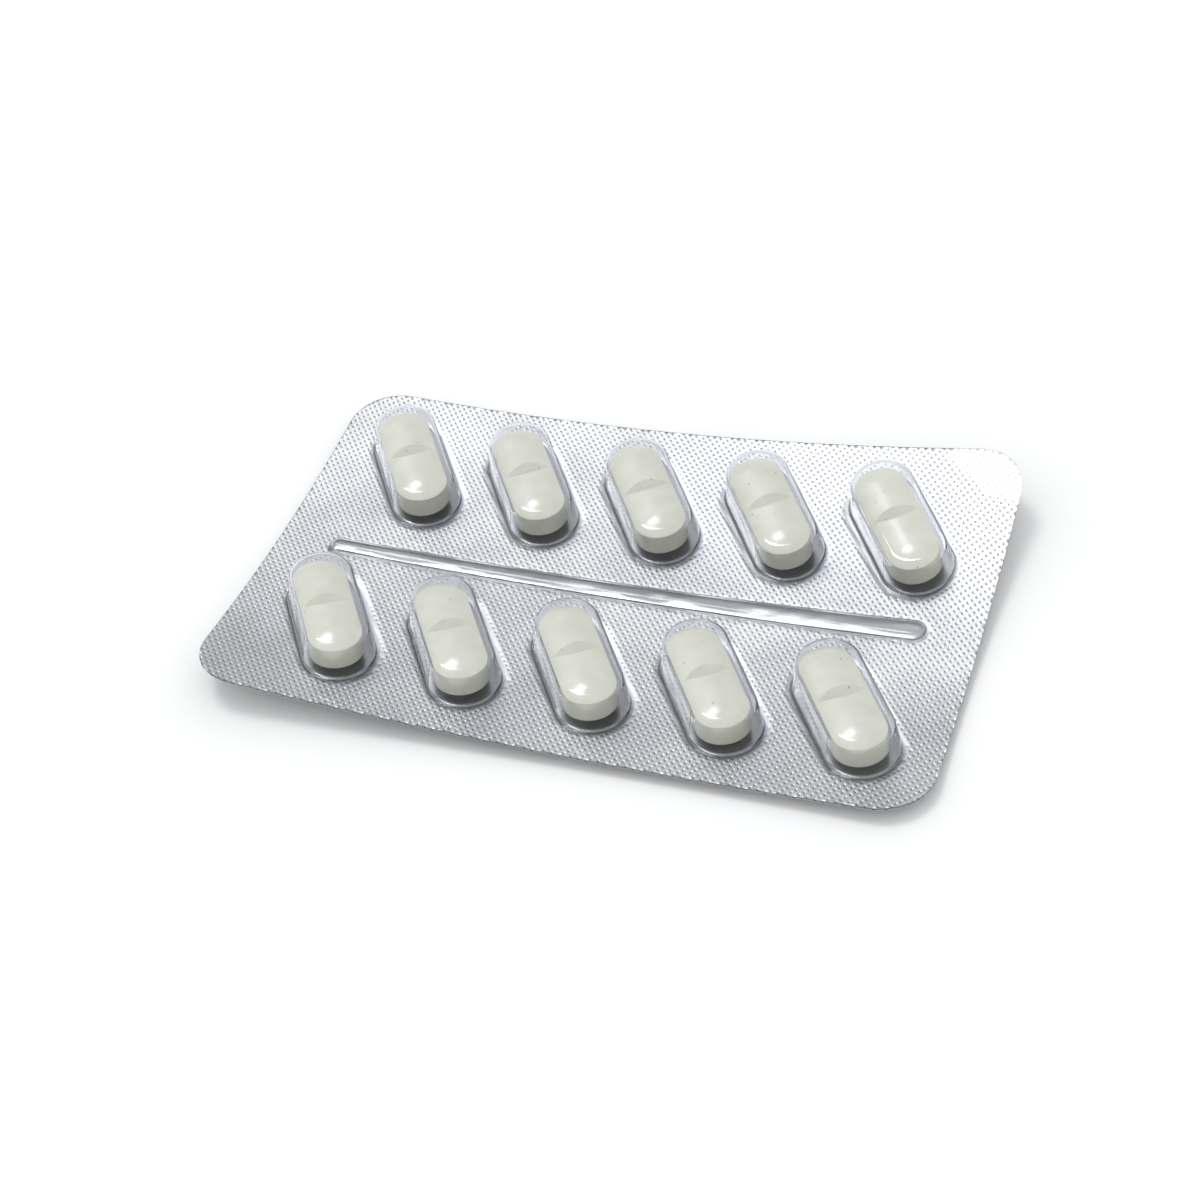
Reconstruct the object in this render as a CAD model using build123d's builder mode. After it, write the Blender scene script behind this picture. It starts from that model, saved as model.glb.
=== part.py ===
from build123d import *
import os
from math import cos, radians, sin, tan

# Pill blister pack: a clear thermoformed film with ten slanted pockets and a stiffening rib, a foil
# sealed to its underside, and ten scored oblong tablets. Millimetres, +Z up. X runs along the card's
# long side, Y from its front edge to its back edge. The card has curled, so its corners stand up.

# Card
card_length = 100.0
card_width = 63.5
corner_radius = 7.1
film_thickness = 0.25
foil_thickness = 0.05

# Curl: how high each point of the card's outline stands above its middle
lift_front_left = 5.1
lift_front = 1.6
lift_front_right = 2.2
lift_left = 1.5
lift_right = 1.5
lift_back_left = 2.2
lift_back = 1.6
lift_back_right = 7.2

# Tablet: a straight band between two domed cups, with a score line across the upper one
tablet_length = 19.4
tablet_width = 7.2
tablet_band = 2.94
tablet_cup = 1.08
tablet_edge = 0.12  # radius between the band and each cup
score_angle = 105.0
score_floor = 0.25  # the score line's bottom above the edge of the band

# Fit of a tablet in its pocket
foil_clearance = 0.03
headroom = 0.1
end_play = 0.45
side_play = 0.35
tablet_shift_along = -0.1
tablet_shift_across = 0.3

# Pockets: two rows, all turned the same way from the card's short side
pocket_draft = 8.0
pocket_crown = 1.3  # outer radius round the pocket's top
pocket_foot = 0.45  # radius where the pocket's wall meets the card
pocket_slant = 34.0
pockets_per_row = 5
end_margin = 7.2  # from the card's short edge to the outline of the row's last tablet
front_row_shift = 0.65  # each row's offset along the card from its middle
back_row_shift = -0.2
front_row_offset = 0.0  # how much further from the rib than midway to the long edge
back_row_offset = -0.4

# Rib between the rows, a little narrower at its left end
rib_left_margin = 7.7  # from the card's short edge to the rib's end
rib_left_width = 2.4
rib_left_y = -0.6
rib_right_margin = 7.2
rib_right_width = 3.3
rib_right_y = 0.0
rib_height = 0.9
rib_crown = 0.75

# Allowances for building
root = 1.2  # how far forms reach below the card's top before they are trimmed
margin = 4.0  # how far the curled patches reach past the card's outline
tall = 20.0  # taller than anything on the card

# The tablets of a row are spread evenly over the card's length, each row midway between rib and edge.
tablet_straight = tablet_length - tablet_width
tablet_reach = tablet_width / 2 + tablet_straight / 2 * sin(radians(pocket_slant))
pocket_pitch = (card_length - 2 * (end_margin + tablet_reach)) / (pockets_per_row - 1)
row_y = (card_width / 2 + rib_right_width / 2) / 2


def through(start, middle, end, t):
    """Value at t of the quadratic that passes through three values at -1, 0 and 1."""
    return start * t * (t - 1) / 2 + middle * (1 - t * t) + end * t * (t + 1) / 2


def lift(x, y):
    """Height of the film's top above its height at the card's middle."""
    t, s = x / (card_length / 2), y / (card_width / 2)
    front = through(lift_front_left, lift_front, lift_front_right, t)
    middle = through(lift_left, 0.0, lift_right, t)
    back = through(lift_back_left, lift_back, lift_back_right, t)
    return through(front, middle, back, s)


# The card stands on the lowest point of its foil, so this is the height of the film's top at the middle.
steps = [i / 50 - 1 for i in range(101)]
lowest = min(lift(t * card_length / 2, s * card_width / 2) for t in steps for s in steps)
middle_height = foil_thickness + film_thickness - lowest


def row(name, shift, y):
    """Name and middle of each pocket in a row, from left to right."""
    middle = (pockets_per_row - 1) / 2
    return [(f"{name}_{i + 1}", shift + (i - middle) * pocket_pitch, y) for i in range(pockets_per_row)]


front_row = row("front", front_row_shift, -row_y - front_row_offset)
back_row = row("back", back_row_shift, row_y + back_row_offset)
pockets = front_row + back_row


def bow(x, y):
    """How far the curled foil rises under the ends of a tablet's straight underside."""
    run = tablet_straight / 2
    run_x, run_y = -run * sin(radians(pocket_slant)), run * cos(radians(pocket_slant))
    return (lift(x + run_x, y + run_y) + lift(x - run_x, y - run_y)) / 2 - lift(x, y)


# Every tablet clears the foil that is bowed most, and every pocket is as deep as that needs.
tablet_seat = foil_clearance + max(bow(x, y) for _, x, y in pockets)
tablet_thickness = tablet_band + 2 * tablet_cup
pocket_height = tablet_seat + tablet_thickness + headroom
spread = 2 * pocket_height * tan(radians(pocket_draft))
pocket_length = tablet_length + 2 * end_play + 2 * film_thickness + spread
pocket_width = tablet_width + 2 * side_play + 2 * film_thickness + spread


def curled(drop):
    """The card's curled surface, a given drop below the film's top, a little larger than the card."""
    half_x, half_y = card_length / 2 + margin, card_width / 2 + margin

    def poles(start, middle, end):
        return start, 2 * middle - (start + end) / 2, end

    rows = [poles(*(lift(x, y) for x in (-half_x, 0, half_x))) for y in (-half_y, 0, half_y)]
    columns = [poles(*column) for column in zip(*rows)]
    net = [
        [(x, y, middle_height - drop + z) for y, z in zip((-half_y, 0, half_y), column)]
        for x, column in zip((-half_x, 0, half_x), columns)
    ]
    return Face.make_bezier_surface(net)


def seat(x, y, along=0.0, across=0.0, above=0.0):
    """Plane at a pocket's middle, a given height above the film's top, its X along the pocket."""
    slope_x = (lift(x + 1, y) - lift(x - 1, y)) / 2
    slope_y = (lift(x, y + 1) - lift(x, y - 1)) / 2
    run_x, run_y = -sin(radians(pocket_slant)), cos(radians(pocket_slant))
    plane = Plane(
        origin=(x, y, middle_height + lift(x, y)),
        x_dir=(run_x, run_y, run_x * slope_x + run_y * slope_y),
        z_dir=(-slope_x, -slope_y, 1),
    )
    return Plane(plane.from_local_coords((along, across, above)), x_dir=plane.x_dir, z_dir=plane.z_dir)


seats = [seat(x, y).location for _, x, y in pockets]


# One pocket's outside and inside, on a plane at the film's top
def slot_size(inset, depth):
    """Length and width of the pocket's outline a given depth below the film's top."""
    grown = 2 * depth * tan(radians(pocket_draft)) - 2 * inset
    return pocket_length + grown, pocket_width + grown


with BuildPart() as pocket_form:
    with BuildSketch(Plane.XY.offset(-root)):
        SlotOverall(*slot_size(0, root))
    extrude(amount=pocket_height + root, taper=pocket_draft)
    fillet(pocket_form.faces().sort_by(Axis.Z)[-1].edges(), pocket_crown)

with BuildPart() as pocket_core:
    with BuildSketch(Plane.XY.offset(-2 * root)):
        SlotOverall(*slot_size(film_thickness, 2 * root))
    extrude(amount=pocket_height - film_thickness + 2 * root, taper=pocket_draft)
    fillet(pocket_core.faces().sort_by(Axis.Z)[-1].edges(), pocket_crown - film_thickness)


# The rib's outside and inside follow the curl
def rib_outline(inset):
    """Outline of the rib, drawn in a sketch."""
    left, right = rib_left_width / 2, rib_right_width / 2
    with Locations((-card_length / 2 + rib_left_margin + left, rib_left_y)):
        Circle(left - inset)
    with Locations((card_length / 2 - rib_right_margin - right, rib_right_y)):
        Circle(right - inset)
    make_hull()


with BuildPart() as rib_form:
    with BuildSketch(Plane.XY.offset(-tall)):
        rib_outline(0)
    extrude(amount=2 * tall)
    extrude(curled(-rib_height), amount=rib_height + root, dir=(0, 0, -1), mode=Mode.INTERSECT)
    fillet(rib_form.faces().sort_by(Axis.Z)[-1].edges(), rib_crown)

with BuildPart() as rib_core:
    with BuildSketch(Plane.XY.offset(-tall)):
        rib_outline(film_thickness)
    extrude(amount=2 * tall)
    extrude(
        curled(film_thickness - rib_height), amount=rib_height + root, dir=(0, 0, -1), mode=Mode.INTERSECT
    )
    fillet(rib_core.faces().sort_by(Axis.Z)[-1].edges(), rib_crown - film_thickness)


# Clear film: the card with its pockets and rib raised from it, open below
with BuildPart() as blister_film:
    with BuildSketch(Plane.XY.offset(-tall)):
        RectangleRounded(card_length, card_width, corner_radius)
    extrude(amount=2 * tall)
    extrude(curled(0), amount=2 * root, dir=(0, 0, -1), mode=Mode.INTERSECT)
    with Locations(*seats):
        add(pocket_form.part)
    add(rib_form.part)
    card_top = blister_film.faces().filter_by(lambda face: face.inner_wires()).sort_by(Axis.Z)[-1]
    feet = [edge for wire in card_top.inner_wires() for edge in wire.edges()]
    fillet(feet, pocket_foot)
    extrude(curled(film_thickness), amount=tall, dir=(0, 0, 1), mode=Mode.INTERSECT)
    with Locations(*seats):
        add(pocket_core.part, mode=Mode.SUBTRACT)
    add(rib_core.part, mode=Mode.SUBTRACT)

# Foil sealed to the film's underside
with BuildPart() as lidding_foil:
    with BuildSketch(Plane.XY.offset(-tall)):
        RectangleRounded(card_length, card_width, corner_radius)
    extrude(amount=2 * tall)
    extrude(curled(film_thickness), amount=foil_thickness, dir=(0, 0, -1), mode=Mode.INTERSECT)

# One tablet, its lowest point at the origin and its length along X
with BuildSketch() as half_section:
    band_top = tablet_cup + tablet_band
    with BuildLine():
        TangentArc((0, 0), (tablet_width / 2, tablet_cup), tangent=(1, 0))
        Line((tablet_width / 2, tablet_cup), (tablet_width / 2, band_top))
        TangentArc((0, tablet_thickness), (tablet_width / 2, band_top), tangent=(1, 0))
        Line((0, tablet_thickness), (0, 0))
    make_face()
    fillet(half_section.vertices().group_by(Axis.X)[-1], tablet_edge)

with BuildPart() as tablet:
    with BuildSketch(Plane.YZ):
        add(half_section.sketch)
        mirror(about=Plane.YZ)
    extrude(amount=tablet_straight / 2, both=True)
    for end in (-tablet_straight / 2, tablet_straight / 2):
        with BuildSketch(Plane.YZ.offset(end)):
            add(half_section.sketch)
        revolve(axis=Axis((end, 0, 0), (0, 0, 1)))
    score_reach = tablet_cup * tan(radians(score_angle / 2))
    score_bottom = band_top + score_floor
    with BuildSketch(Plane.XZ):
        with BuildLine():
            Polyline(
                (0, score_bottom),
                (score_reach, score_bottom + tablet_cup),
                (-score_reach, score_bottom + tablet_cup),
                close=True,
            )
        make_face()
    extrude(amount=tablet_width, both=True, mode=Mode.SUBTRACT)

os.makedirs("parts", exist_ok=True)
blister_film.part.label = "blister_film"
export_step(blister_film.part, "parts/blister_film.step")
lidding_foil.part.label = "lidding_foil"
export_step(lidding_foil.part, "parts/lidding_foil.step")

# Each tablet lies on the foil in its pocket
for name, x, y in pockets:
    with BuildPart() as placed_tablet:
        with Locations(seat(x, y, tablet_shift_along, tablet_shift_across, tablet_seat - film_thickness)):
            add(tablet.part)
    placed_tablet.part.label = f"tablet_{name}"
    export_step(placed_tablet.part, f"parts/tablet_{name}.step")
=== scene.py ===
"""Looks of a pill blister pack: clear film over knurled foil, with scored tablets in slanted pockets."""

import logging
import math
from dataclasses import dataclass, field
from enum import Enum

import bpy
import numpy as np
from mathutils import Matrix, Quaternion, Vector

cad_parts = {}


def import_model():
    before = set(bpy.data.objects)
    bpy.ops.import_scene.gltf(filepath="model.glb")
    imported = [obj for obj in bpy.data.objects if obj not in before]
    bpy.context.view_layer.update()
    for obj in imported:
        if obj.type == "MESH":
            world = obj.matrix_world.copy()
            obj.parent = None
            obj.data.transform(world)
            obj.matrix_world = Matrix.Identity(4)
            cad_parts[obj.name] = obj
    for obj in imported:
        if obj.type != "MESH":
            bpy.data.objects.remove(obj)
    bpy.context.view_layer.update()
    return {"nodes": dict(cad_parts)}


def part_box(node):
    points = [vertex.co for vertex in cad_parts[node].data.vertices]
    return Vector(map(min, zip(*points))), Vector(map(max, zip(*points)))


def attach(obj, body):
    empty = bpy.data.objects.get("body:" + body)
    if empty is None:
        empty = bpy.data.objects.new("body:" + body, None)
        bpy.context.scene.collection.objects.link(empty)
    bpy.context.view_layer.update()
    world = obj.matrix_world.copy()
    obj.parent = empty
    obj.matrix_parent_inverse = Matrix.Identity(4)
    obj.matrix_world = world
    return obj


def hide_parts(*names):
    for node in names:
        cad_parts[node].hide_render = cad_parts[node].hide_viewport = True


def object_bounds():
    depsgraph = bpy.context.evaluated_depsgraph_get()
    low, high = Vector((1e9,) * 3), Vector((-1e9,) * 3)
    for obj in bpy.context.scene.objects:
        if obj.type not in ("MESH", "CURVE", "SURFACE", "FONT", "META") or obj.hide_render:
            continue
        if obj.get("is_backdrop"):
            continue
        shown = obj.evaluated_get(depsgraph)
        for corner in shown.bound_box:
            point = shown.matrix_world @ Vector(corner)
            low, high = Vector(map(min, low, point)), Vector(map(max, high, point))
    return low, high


LOG = logging.getLogger("blister_pack")
MM = 0.001
NEAR_ZERO = 1e-6

Colour = tuple[float, float, float, float]


class Slot(Enum):
    """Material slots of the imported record."""

    FILM = "clear_film"
    FOIL = "foil"
    TABLET = "tablet"


def hex_colour(code: str) -> Colour:
    """Turn an sRGB hex value into a linear colour.

    Args:
        code: Six hex digits after a hash.

    Returns:
        Linear red, green, blue and an alpha of 1.
    """
    parts = [int(code[i : i + 2], 16) / 255 for i in (1, 3, 5)]
    red, green, blue = (c / 12.92 if c <= 0.04045 else ((c + 0.055) / 1.055) ** 2.4 for c in parts)
    return red, green, blue, 1.0


def add_node(
    tree: bpy.types.NodeTree,
    kind: str,
    settings: dict[str, object] | None = None,
    inputs: dict[str | int, object] | None = None,
) -> bpy.types.Node:
    """Add a node, set its properties and give its sockets values or links.

    Args:
        tree: Node tree that takes the node.
        kind: Blender's type name of the node.
        settings: Node properties by name.
        inputs: Socket values by name or number; an output socket is linked.

    Returns:
        The new node.
    """
    node = tree.nodes.new(kind)
    for name, value in (settings or {}).items():
        setattr(node, name, value)
    for key, value in (inputs or {}).items():
        if isinstance(value, bpy.types.NodeSocket):
            tree.links.new(value, node.inputs[key])
        else:
            node.inputs[key].default_value = value
    return node


def set_ramp(node: bpy.types.Node, stops: list[tuple[float, Colour]]) -> None:
    """Give a colour ramp node its stops.

    Args:
        node: Colour ramp node.
        stops: Position and linear colour of each stop, from low to high.
    """
    ramp = node.color_ramp
    while len(ramp.elements) < len(stops):
        ramp.elements.new(1.0)
    for element, (position, colour) in zip(ramp.elements, stops):
        element.position, element.color = position, colour


def new_material(name: str) -> tuple[bpy.types.Material, bpy.types.NodeTree]:
    """Make an empty node material.

    Args:
        name: Name of the finish.

    Returns:
        The material and its node tree, which holds no node yet.
    """
    material = bpy.data.materials.new(name)
    material.use_nodes = True
    material.node_tree.nodes.clear()
    return material, material.node_tree


def dress(piece: bpy.types.Object, material: bpy.types.Material) -> None:
    """Put one material on the whole of a piece."""
    piece.data.materials.clear()
    piece.data.materials.append(material)


@dataclass(frozen=True)
class ThermoformedPVC:
    """Clear rigid PVC film, drawn hot into a mould, so it's glossy with faint waves where it stretched."""

    name: str = "thermoformed_clear_pvc"
    tint: str = "#FDFDFE"
    edge_tint: str = "#86A0C8"
    ior: float = 1.54
    roughness: float = 0.04
    specular: float = 0.08
    absorption: float = 260.0
    wave_mm: float = 5.0
    wave_strength: float = 0.02
    wave_height: float = 1.0 * MM

    def build(self) -> bpy.types.Material:
        """Build the film's material.

        Returns:
            A clear material that lamps shine through.
        """
        material, tree = new_material(self.name)
        place = add_node(tree, "ShaderNodeTexCoord")
        waves = add_node(
            tree,
            "ShaderNodeTexNoise",
            inputs={"Vector": place.outputs["Object"], "Scale": 1 / (self.wave_mm * MM), "Detail": 1.0},
        )
        bump = add_node(
            tree,
            "ShaderNodeBump",
            inputs={
                "Height": waves.outputs["Fac"],
                "Strength": self.wave_strength,
                "Distance": self.wave_height,
            },
        )
        film = add_node(
            tree,
            "ShaderNodeBsdfPrincipled",
            inputs={
                "Base Color": hex_colour(self.tint),
                "Roughness": self.roughness,
                "IOR": self.ior,
                "Specular IOR Level": self.specular,
                "Transmission Weight": 1.0,
                "Normal": bump.outputs["Normal"],
            },
        )
        clear = add_node(tree, "ShaderNodeBsdfTransparent", inputs={"Color": hex_colour(self.tint)})
        lamp = add_node(tree, "ShaderNodeLightPath")
        shaded = add_node(
            tree,
            "ShaderNodeMixShader",
            inputs={0: lamp.outputs["Is Shadow Ray"], 1: film.outputs[0], 2: clear.outputs[0]},
        )
        mix = add_node(
            tree,
            "ShaderNodeMixShader",
            inputs={0: lamp.outputs["Is Diffuse Ray"], 1: shaded.outputs[0], 2: clear.outputs[0]},
        )
        inside = add_node(
            tree,
            "ShaderNodeVolumeAbsorption",
            inputs={"Color": hex_colour(self.edge_tint), "Density": self.absorption},
        )
        add_node(
            tree,
            "ShaderNodeOutputMaterial",
            inputs={"Surface": mix.outputs[0], "Volume": inside.outputs[0]},
        )
        return material


@dataclass(frozen=True)
class Knurl:
    """Lattice of pits that the sealing roller presses into the foil, by the two steps between them."""

    first: tuple[float, float] = (0.606 * MM, -0.749 * MM)
    second: tuple[float, float] = (0.463 * MM, 0.551 * MM)
    depth: float = 0.09 * MM

    def waves(self) -> tuple[tuple[float, float, float], tuple[float, float, float]]:
        """Return the two directions that count steps: a point's dot product with each is its steps."""
        (ax, ay), (bx, by) = self.first, self.second
        cross = ax * by - ay * bx
        return (by / cross, -bx / cross, 0.0), (-ay / cross, ax / cross, 0.0)


@dataclass(frozen=True)
class HardAluminiumFoil:
    """Hard rolled aluminium foil, pressed by a knurled roller: grey, with a glint to a pit and a dark spot
    of painted shade in it.

    The mesh carries the pits themselves, two squares to a step. The bump rounds their shading, and fades out
    with the mesh's attribute where the foil isn't sealed.
    """

    knurl: Knurl = field(default_factory=Knurl)
    name: str = "hard_aluminium_foil"
    sealed: str = "sealed"
    # Painted shade in the pits: the tone and the strength of the darkening that is mixed into the base
    # colour.
    pit_shade_tone: str = "#5F6265"
    pit_shade_strength: float = 0.65
    pit_sharpness: float = 1.8
    pit_strength: float = 0.3
    dark: str = "#A4A5A6"
    light: str = "#BCBDBD"
    roughness_low: float = 0.28
    roughness_high: float = 0.35
    grain_mm: float = 0.15
    grain_stretch: float = 12.0
    grain_strength: float = 0.03
    grain_height: float = 0.05 * MM
    cloud_mm: float = 14.0
    noise_span: tuple[float, float] = (0.3, 0.7)

    def pits(self, tree: bpy.types.NodeTree, spot: bpy.types.NodeSocket) -> bpy.types.NodeSocket:
        """Add the knurl's pattern.

        Args:
            tree: Node tree that takes the pattern.
            spot: Object coordinates.

        Returns:
            A socket that is 1 in the middle of a sealed pit and 0 between pits.
        """
        sealed = add_node(tree, "ShaderNodeAttribute", {"attribute_name": self.sealed})
        height = sealed.outputs["Fac"]
        for wave in self.knurl.waves():
            turn = tuple(2 * math.pi * part for part in wave)
            phase = add_node(tree, "ShaderNodeVectorMath", {"operation": "DOT_PRODUCT"}, {0: spot, 1: turn})
            swing = add_node(tree, "ShaderNodeMath", {"operation": "COSINE"}, {0: phase.outputs["Value"]})
            rise = add_node(
                tree,
                "ShaderNodeMath",
                {"operation": "MULTIPLY_ADD"},
                {0: swing.outputs[0], 1: 0.5, 2: 0.5},
            )
            product = add_node(
                tree,
                "ShaderNodeMath",
                {"operation": "MULTIPLY"},
                {0: height, 1: rise.outputs[0]},
            )
            height = product.outputs[0]
        narrow = add_node(
            tree,
            "ShaderNodeMath",
            {"operation": "POWER"},
            {0: height, 1: self.pit_sharpness},
        )
        return narrow.outputs[0]

    def build(self) -> bpy.types.Material:
        """Build the foil's material.

        Returns:
            A metal material with rolling grain along the card's length.
        """
        material, tree = new_material(self.name)
        place = add_node(tree, "ShaderNodeTexCoord")
        along = add_node(
            tree,
            "ShaderNodeMapping",
            inputs={"Vector": place.outputs["Object"], "Scale": (1 / self.grain_stretch, 1.0, 1.0)},
        )
        grain = add_node(
            tree,
            "ShaderNodeTexNoise",
            inputs={"Vector": along.outputs[0], "Scale": 1 / (self.grain_mm * MM), "Detail": 2.0},
        )
        cloud = add_node(
            tree,
            "ShaderNodeTexNoise",
            inputs={"Vector": place.outputs["Object"], "Scale": 1 / (self.cloud_mm * MM), "Detail": 3.0},
        )
        tone = add_node(tree, "ShaderNodeValToRGB", inputs={"Fac": cloud.outputs["Fac"]})
        low, high = self.noise_span
        set_ramp(tone, [(low, hex_colour(self.dark)), (high, hex_colour(self.light))])
        rough = add_node(
            tree,
            "ShaderNodeMapRange",
            inputs={
                "Value": grain.outputs["Fac"],
                "From Min": low,
                "From Max": high,
                "To Min": self.roughness_low,
                "To Max": self.roughness_high,
            },
        )
        bump = add_node(
            tree,
            "ShaderNodeBump",
            inputs={
                "Height": grain.outputs["Fac"],
                "Strength": self.grain_strength,
                "Distance": self.grain_height,
            },
        )
        pits = self.pits(tree, place.outputs["Object"])
        # Painted shade: the base colour darkens towards a dark grey in the middle of each sealed pit and
        # stands in for the shade in the hollow. The bump below gives the pit's real relief.
        shade = add_node(
            tree,
            "ShaderNodeMath",
            {"operation": "MULTIPLY"},
            {0: pits, 1: self.pit_shade_strength},
        )
        colour = add_node(
            tree,
            "ShaderNodeMix",
            {"data_type": "RGBA"},
            {"Factor": shade.outputs[0], 6: tone.outputs["Color"], 7: hex_colour(self.pit_shade_tone)},
        )
        pitted = add_node(
            tree,
            "ShaderNodeBump",
            {"invert": True},
            {
                "Height": pits,
                "Strength": self.pit_strength,
                "Distance": self.knurl.depth,
                "Normal": bump.outputs["Normal"],
            },
        )
        metal = add_node(
            tree,
            "ShaderNodeBsdfPrincipled",
            inputs={
                "Base Color": colour.outputs[2],
                "Metallic": 1.0,
                "Roughness": rough.outputs[0],
                "Normal": pitted.outputs["Normal"],
            },
        )
        add_node(tree, "ShaderNodeOutputMaterial", inputs={"Surface": metal.outputs[0]})
        return material


@dataclass(frozen=True)
class TabletCoating:
    """Thin polymer film sprayed on a pressed tablet: satin, finely pebbled, with a few dark specks."""

    name: str = "tablet_film_coating"
    base: str = "#DBDAC4"
    pale: str = "#E2E1CE"
    speck: str = "#77725F"
    roughness: float = 0.24
    specular: float = 0.9
    ior: float = 1.48
    glow: float = 0.2
    glow_mm: tuple[float, float, float] = (0.6, 0.55, 0.4)
    pebble_mm: float = 0.22
    pebble_strength: float = 0.1
    pebble_height: float = 0.04 * MM
    mottle_mm: float = 2.4
    mottle_span: tuple[float, float] = (0.35, 0.65)
    speck_mm: float = 2.6
    speck_share: float = 0.035
    speck_fade: float = 1.8
    speck_darkness: float = 0.75

    def build(self) -> bpy.types.Material:
        """Build the tablets' material.

        Returns:
            A satin, slightly translucent material with pebbling and specks.
        """
        material, tree = new_material(self.name)
        place = add_node(tree, "ShaderNodeTexCoord")
        spot = place.outputs["Object"]
        mottle = add_node(
            tree,
            "ShaderNodeTexNoise",
            inputs={"Vector": spot, "Scale": 1 / (self.mottle_mm * MM), "Detail": 4.0},
        )
        tone = add_node(tree, "ShaderNodeValToRGB", inputs={"Fac": mottle.outputs["Fac"]})
        low, high = self.mottle_span
        set_ramp(tone, [(low, hex_colour(self.base)), (high, hex_colour(self.pale))])
        cells = add_node(
            tree,
            "ShaderNodeTexVoronoi",
            inputs={"Vector": spot, "Scale": 1 / (self.speck_mm * MM), "Randomness": 1.0},
        )
        speck = add_node(
            tree,
            "ShaderNodeMapRange",
            inputs={
                "Value": cells.outputs["Distance"],
                "From Min": self.speck_share,
                "From Max": self.speck_share * self.speck_fade,
                "To Min": self.speck_darkness,
                "To Max": 0.0,
            },
        )
        colour = add_node(
            tree,
            "ShaderNodeMix",
            {"data_type": "RGBA"},
            {"Factor": speck.outputs[0], 6: tone.outputs["Color"], 7: hex_colour(self.speck)},
        )
        pebble = add_node(
            tree,
            "ShaderNodeTexNoise",
            inputs={"Vector": spot, "Scale": 1 / (self.pebble_mm * MM), "Detail": 2.0},
        )
        bump = add_node(
            tree,
            "ShaderNodeBump",
            inputs={
                "Height": pebble.outputs["Fac"],
                "Strength": self.pebble_strength,
                "Distance": self.pebble_height,
            },
        )
        coat = add_node(
            tree,
            "ShaderNodeBsdfPrincipled",
            inputs={
                "Base Color": colour.outputs[2],
                "Roughness": self.roughness,
                "IOR": self.ior,
                "Specular IOR Level": self.specular,
                "Subsurface Weight": self.glow,
                "Subsurface Radius": self.glow_mm,
                "Subsurface Scale": MM,
                "Normal": bump.outputs["Normal"],
            },
        )
        add_node(tree, "ShaderNodeOutputMaterial", inputs={"Surface": coat.outputs[0]})
        return material


@dataclass(frozen=True)
class StudioCard:
    """Plain white card under the object."""

    name: str = "white_studio_card"
    white: str = "#FAFAFA"
    roughness: float = 0.9
    specular: float = 0.1

    def build(self) -> bpy.types.Material:
        """Build the floor's material.

        Returns:
            A matt white material.
        """
        material, tree = new_material(self.name)
        paper = add_node(
            tree,
            "ShaderNodeBsdfPrincipled",
            inputs={
                "Base Color": hex_colour(self.white),
                "Roughness": self.roughness,
                "Specular IOR Level": self.specular,
            },
        )
        add_node(tree, "ShaderNodeOutputMaterial", inputs={"Surface": paper.outputs[0]})
        return material


def clear_selection() -> None:
    """Leave object mode with nothing selected."""
    if bpy.context.object and bpy.context.object.mode != "OBJECT":
        bpy.ops.object.mode_set(mode="OBJECT")
    bpy.ops.object.select_all(action="DESELECT")


@dataclass
class CardSurface:
    """The film's underside, where it meets the foil, as a smooth height over the card."""

    unit: float = 50 * MM
    factors: np.ndarray = field(default_factory=lambda: np.zeros(9))

    def terms(self, x: np.ndarray, y: np.ndarray) -> np.ndarray:
        """Return the biquadratic terms at points of the card, one column each."""
        u, v = x / self.unit, y / self.unit
        return np.stack([u**i * v**j for i in range(3) for j in range(3)], axis=-1)

    def fit(self, foil: bpy.types.Object) -> None:
        """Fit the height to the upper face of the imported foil.

        Args:
            foil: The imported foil.
        """
        mesh = foil.data
        co = np.zeros(len(mesh.vertices) * 3)
        mesh.vertices.foreach_get("co", co)
        co = co.reshape(-1, 3)
        upper = sorted({v for face in mesh.polygons if face.normal.z > 0.5 for v in face.vertices})
        points = co[upper]
        self.factors = np.linalg.lstsq(self.terms(points[:, 0], points[:, 1]), points[:, 2], rcond=None)[0]
        miss = np.abs(self.height(points[:, 0], points[:, 1]) - points[:, 2]).max()
        LOG.info("card surface fitted to %d points, within %.4f mm", len(points), miss / MM)

    def height(self, x: np.ndarray, y: np.ndarray) -> np.ndarray:
        """Return the surface's height at points of the card, in metres."""
        return self.terms(x, y) @ self.factors


@dataclass
class Pocket:
    """Where one pocket opens on the card, from the tablet that lies in it."""

    tablet: str
    slant: float = math.radians(34.0)
    half_length: float = 11.12 * MM
    half_width: float = 4.94 * MM
    shift_along: float = -0.1 * MM
    shift_across: float = 0.3 * MM

    def middle(self) -> Vector:
        """Return the pocket's middle over the card."""
        low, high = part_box(self.tablet)
        along = Vector((-math.sin(self.slant), math.cos(self.slant), 0))
        across = Vector((-along.y, along.x, 0))
        return (low + high) / 2 - along * self.shift_along - across * self.shift_across

    def distance(self, x: np.ndarray, y: np.ndarray) -> np.ndarray:
        """Return how far points lie outside the pocket's outline, negative inside."""
        centre = self.middle()
        dx, dy = x - centre.x, y - centre.y
        along = -dx * math.sin(self.slant) + dy * math.cos(self.slant)
        across = dx * math.cos(self.slant) + dy * math.sin(self.slant)
        past = np.maximum(np.abs(along) - (self.half_length - self.half_width), 0)
        return np.hypot(past, across) - self.half_width


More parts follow.
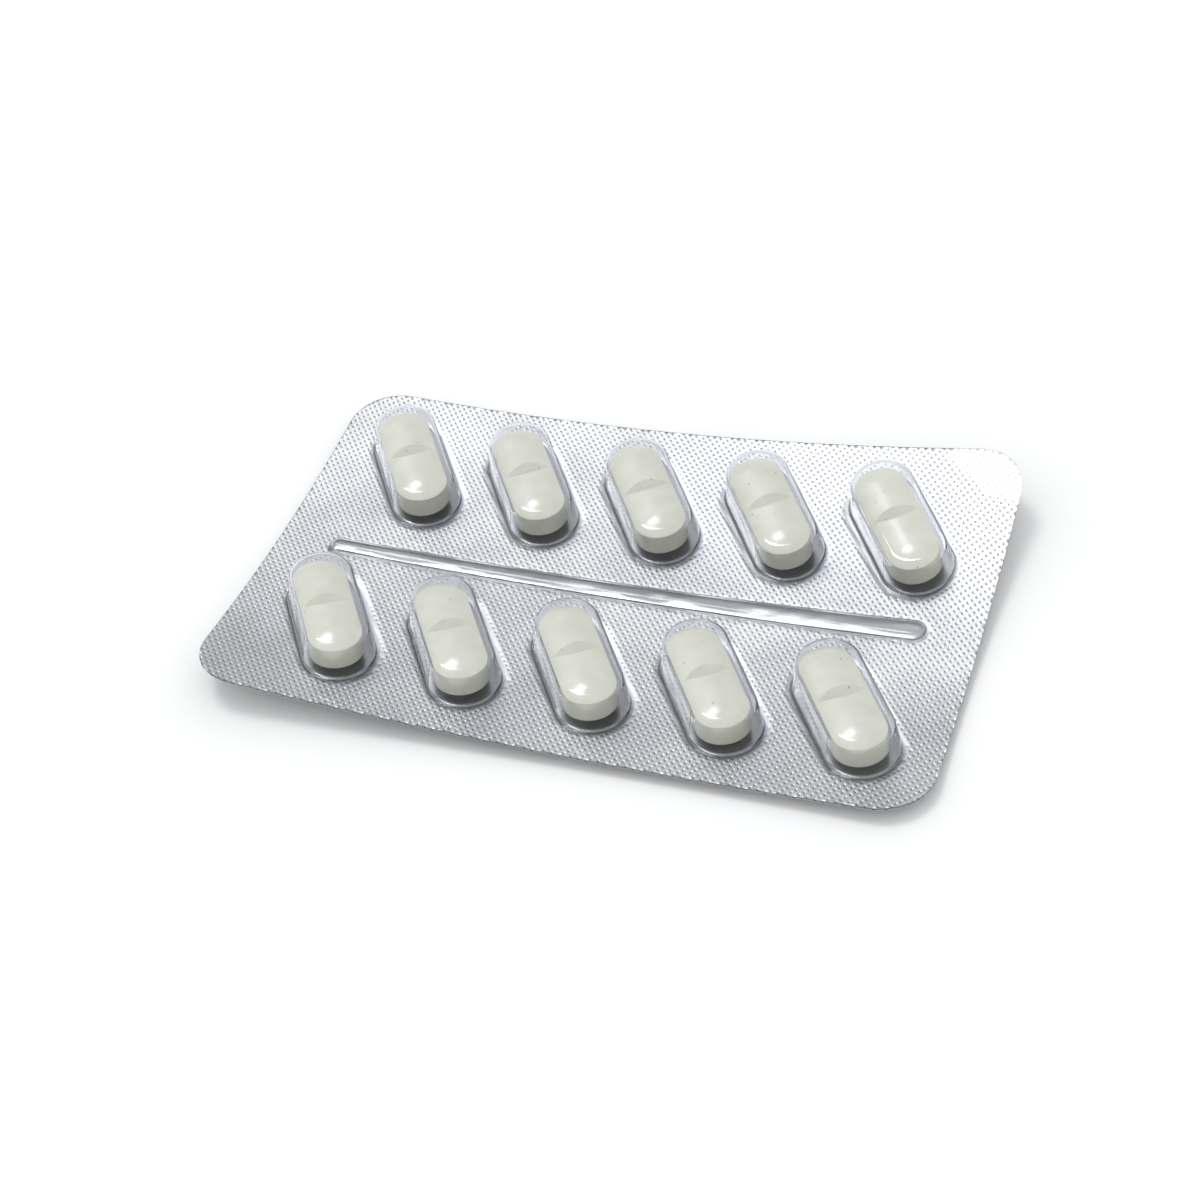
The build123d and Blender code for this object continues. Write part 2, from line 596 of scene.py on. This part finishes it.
@dataclass
class Rib:
    """The film's stiffening rib, as a tapered capsule over the card."""

    left: tuple[float, float] = (-41.1 * MM, -0.6 * MM)
    right: tuple[float, float] = (41.15 * MM, 0.0)
    left_radius: float = 1.2 * MM
    right_radius: float = 1.65 * MM

    def coordinates(self, x: np.ndarray, y: np.ndarray) -> tuple[np.ndarray, np.ndarray]:
        """Return each point's share across the rib, from -1 to 1 inside, and its share along it."""
        (x0, y0), (x1, y1) = self.left, self.right
        run = math.hypot(x1 - x0, y1 - y0)
        share = ((x - x0) * (x1 - x0) + (y - y0) * (y1 - y0)) / run**2
        held = np.clip(share, 0, 1)
        radius = self.left_radius + (self.right_radius - self.left_radius) * held
        off = np.hypot(x - (x0 + held * (x1 - x0)), y - (y0 + held * (y1 - y0)))
        side = np.sign((y - y0) * (x1 - x0) - (x - x0) * (y1 - y0))
        return off / radius * np.where(side < 0, -1, 1), share


def ramp(value: np.ndarray, low: float, high: float) -> np.ndarray:
    """Return a smooth step from 0 at low to 1 at high."""
    t = np.clip((value - low) / (high - low), 0, 1)
    return t * t * (3 - 2 * t)


@dataclass(frozen=True)
class Crease:
    """A train of folds in the loose foil under the rib: how deep, how many, their lean and their wander."""

    depth: float
    count: float
    lean: float = 0.0
    wander: float = 0.0
    wander_count: float = 0.0
    start: float = 0.0

    def height(self, across: np.ndarray, share: np.ndarray) -> np.ndarray:
        """Return the folds' height at shares across and along the rib."""
        phase = share * self.count + across * self.lean + self.start
        return self.depth * np.sin(phase + self.wander * np.sin(share * self.wander_count))


@dataclass
class KnurledFoil:
    """Foil pressed against the film by a knurled roller, smooth where it isn't sealed."""

    surface: CardSurface
    pockets: list[Pocket]
    rib: Rib
    name: str = "knurled_foil"
    node: str = "lidding_foil"
    corner_radius: float = 7.1 * MM
    corner_steps: int = 7
    cut_threshold: float = 0.0001 * MM
    squares_to_step: int = 2
    knurl: Knurl = field(default_factory=Knurl)
    lift: float = 0.012 * MM
    thickness: float = 0.11 * MM
    seal_gap: float = 0.35 * MM
    seal_blend: float = 0.45 * MM
    rib_seal: tuple[float, float] = (1.05, 1.3)
    rib_bulge: float = 0.22 * MM
    swells: Crease = Crease(0.12, 19.0, start=1.0)
    folds: Crease = Crease(0.07 * MM, 31.0, 2.6, 1.5, 11.0)
    wrinkles: Crease = Crease(0.042 * MM, 83.0, -4.1, 2.0, 23.0)
    smooth_angle: float = math.radians(60.0)

    def lattice(self) -> bpy.types.Object:
        """Add a grid whose lines follow the knurl's two directions, with two squares to each pit.

        Returns:
            The grid, larger than the card.
        """
        (ax, ay), (bx, by) = self.knurl.first, self.knurl.second
        low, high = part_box(self.node)
        half = (high - low) / 2
        reach = [abs(x) * half.x + abs(y) * half.y for x, y, _ in self.knurl.waves()]
        cells = [math.ceil(steps) + 1 for steps in reach]
        across, along = (2 * self.squares_to_step * count for count in cells)
        clear_selection()
        bpy.ops.mesh.primitive_grid_add(x_subdivisions=across, y_subdivisions=along, size=2)
        sheet = bpy.context.object
        sheet.name = self.name
        skew = Matrix(((ax, bx, 0, 0), (ay, by, 0, 0), (0, 0, 1, 0), (0, 0, 0, 1)))
        sheet.data.transform(skew @ Matrix.Diagonal((cells[0], cells[1], 1, 1)))
        return sheet

    def trim(self, sheet: bpy.types.Object) -> None:
        """Cut the grid to the card's rounded outline, one straight cut after another.

        Args:
            sheet: The flat grid.
        """
        low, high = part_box(self.node)
        middle, half = (low + high) / 2, (high - low) / 2
        clear_selection()
        bpy.context.view_layer.objects.active = sheet
        sheet.select_set(True)
        bpy.ops.object.mode_set(mode="EDIT")
        step = math.pi / 2 / self.corner_steps
        for i in range(4 * self.corner_steps):
            angle = i * step
            out = Vector((math.cos(angle), math.sin(angle), 0))
            core = Vector(
                (
                    math.copysign(half.x - self.corner_radius, out.x if abs(out.x) > NEAR_ZERO else 1),
                    math.copysign(half.y - self.corner_radius, out.y if abs(out.y) > NEAR_ZERO else 1),
                    0,
                )
            )
            bpy.ops.mesh.select_all(action="SELECT")
            edge = Vector((middle.x, middle.y, 0)) + core + out * self.corner_radius
            bpy.ops.mesh.bisect(plane_co=edge, plane_no=out, clear_outer=True, threshold=self.cut_threshold)
        bpy.ops.object.mode_set(mode="OBJECT")

    def sealed(self, x: np.ndarray, y: np.ndarray) -> np.ndarray:
        """Return how firmly the roller sealed each point, from 0 under pockets and rib to 1."""
        outside = np.min([pocket.distance(x, y) for pocket in self.pockets], axis=0)
        across, _ = self.rib.coordinates(x, y)
        around = ramp(outside, self.seal_gap, self.seal_gap + self.seal_blend)
        return around * ramp(np.abs(across), *self.rib_seal)

    def relief(self, x: np.ndarray, y: np.ndarray) -> np.ndarray:
        """Return the foil's height above the card's surface.

        Args:
            x: Places of points along the card.
            y: Places of points across the card.

        Returns:
            Knurl, bulge and creases together, in metres.
        """
        first, second = (wave[0] * x + wave[1] * y for wave in self.knurl.waves())
        pits = (1 + np.cos(2 * np.pi * first)) * (1 + np.cos(2 * np.pi * second)) / 4
        across, share = self.rib.coordinates(x, y)
        inside = np.clip(1 - across**2, 0, 1)
        swell = self.rib_bulge * (1 + self.swells.height(across, share))
        bulge = inside * (swell + self.folds.height(across, share) + self.wrinkles.height(across, share))
        return self.lift + self.knurl.depth * (1 - pits) * self.sealed(x, y) + bulge

    def build(self) -> bpy.types.Object:
        """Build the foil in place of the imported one.

        Returns:
            The finished foil.
        """
        sheet = self.lattice()
        self.trim(sheet)
        mesh = sheet.data
        co = np.zeros(len(mesh.vertices) * 3)
        mesh.vertices.foreach_get("co", co)
        co = co.reshape(-1, 3)
        co[:, 2] = self.surface.height(co[:, 0], co[:, 1]) + self.relief(co[:, 0], co[:, 1])
        mesh.vertices.foreach_set("co", co.ravel())
        finish = HardAluminiumFoil(self.knurl)
        sealed = mesh.attributes.new(finish.sealed, "FLOAT", "POINT")
        sealed.data.foreach_set("value", self.sealed(co[:, 0], co[:, 1]))
        wall = sheet.modifiers.new("wall", "SOLIDIFY")
        wall.thickness = self.thickness
        wall.offset = -1
        bpy.ops.object.modifier_apply(modifier=wall.name)
        bpy.ops.object.shade_smooth_by_angle(angle=self.smooth_angle)
        mesh.update()
        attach(sheet, "root")
        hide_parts(self.node)
        dress(sheet, finish.build())
        LOG.info("%s: %d faces", self.name, len(mesh.polygons))
        return sheet


@dataclass
class BlisterCard:
    """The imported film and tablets, which keep their shapes and get their finishes."""

    nodes: dict[str, bpy.types.Object]

    def tablets(self) -> list[str]:
        """Return the names of the tablets."""
        return sorted(name for name in self.nodes if name.startswith("tablet_"))

    def build(self) -> None:
        """Dress the film, the foil and the tablets."""
        finishes = {Slot.FILM: ThermoformedPVC().build(), Slot.TABLET: TabletCoating().build()}
        for name in self.tablets():
            dress(self.nodes[name], finishes[Slot.TABLET])
            LOG.info("%s: film coated", name)
        dress(self.nodes["blister_film"], finishes[Slot.FILM])
        LOG.info("blister_film: clear")
        surface = CardSurface()
        surface.fit(self.nodes["lidding_foil"])
        KnurledFoil(surface, [Pocket(name) for name in self.tablets()], Rib()).build()


@dataclass
class Studio:
    """Floor, lamps and camera."""

    eye: Vector = field(default_factory=lambda: Vector((0.09991, -0.22177, 0.22743)))
    target: Vector = field(default_factory=lambda: Vector((-0.001737, -0.002254, 0.0003)))
    roll: float = -8.667
    focal_length: float = 73.51
    sensor: float = 36.0
    near_clip: float = 10 * MM
    floor_size: float = 6.0
    key_place: Vector = field(default_factory=lambda: Vector((-0.76, 0.48, 1.786)))
    key_size: float = 0.7
    key_power: float = 9.5
    sky: str = "#F6F7F8"
    sky_strength: float = 0.94

    def floor(self) -> None:
        """Lay the floor under the object."""
        low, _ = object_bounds()
        clear_selection()
        bpy.ops.mesh.primitive_plane_add(size=self.floor_size, location=(0, 0, low[2]))
        floor = bpy.context.object
        floor.name = "floor"
        dress(floor, StudioCard().build())
        floor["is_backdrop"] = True

    def lamp(self, name: str, place: Vector, size: float, power: float) -> None:
        """Add a square soft lamp that points at the object.

        Args:
            name: Name of the lamp.
            place: Where the lamp hangs.
            size: Side of the lamp in metres.
            power: Power in watts.
        """
        data = bpy.data.lights.new(name, "AREA")
        data.shape, data.size, data.energy = "SQUARE", size, power
        lamp = bpy.data.objects.new(name, data)
        lamp.location = place
        lamp.rotation_euler = (-place).to_track_quat("-Z", "Y").to_euler()
        bpy.context.scene.collection.objects.link(lamp)

    def camera(self) -> None:
        """Add the camera."""
        data = bpy.data.cameras.new("camera")
        data.lens, data.sensor_width = self.focal_length, self.sensor
        data.clip_start = self.near_clip
        camera = bpy.data.objects.new("camera", data)
        look = (self.target - self.eye).to_track_quat("-Z", "Y")
        camera.rotation_euler = (look @ Quaternion((0, 0, 1), math.radians(self.roll))).to_euler()
        camera.location = self.eye
        bpy.context.scene.collection.objects.link(camera)
        bpy.context.scene.camera = camera

    def build(self) -> None:
        """Set the stage."""
        scene = bpy.context.scene
        scene.view_settings.view_transform = "Standard"
        world = bpy.data.worlds.new("studio")
        world.use_nodes = True
        sky = world.node_tree.nodes["Background"]
        sky.inputs["Color"].default_value = hex_colour(self.sky)
        sky.inputs["Strength"].default_value = self.sky_strength
        scene.world = world
        self.floor()
        self.lamp("key_softbox", self.key_place, self.key_size, self.key_power)
        self.camera()


def main() -> None:
    """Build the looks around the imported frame."""
    logging.basicConfig(level=logging.INFO, format="%(name)s: %(message)s")
    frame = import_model()
    clear_selection()
    BlisterCard(frame["nodes"]).build()
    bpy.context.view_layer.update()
    Studio().build()


if __name__ == "__main__":
    main()
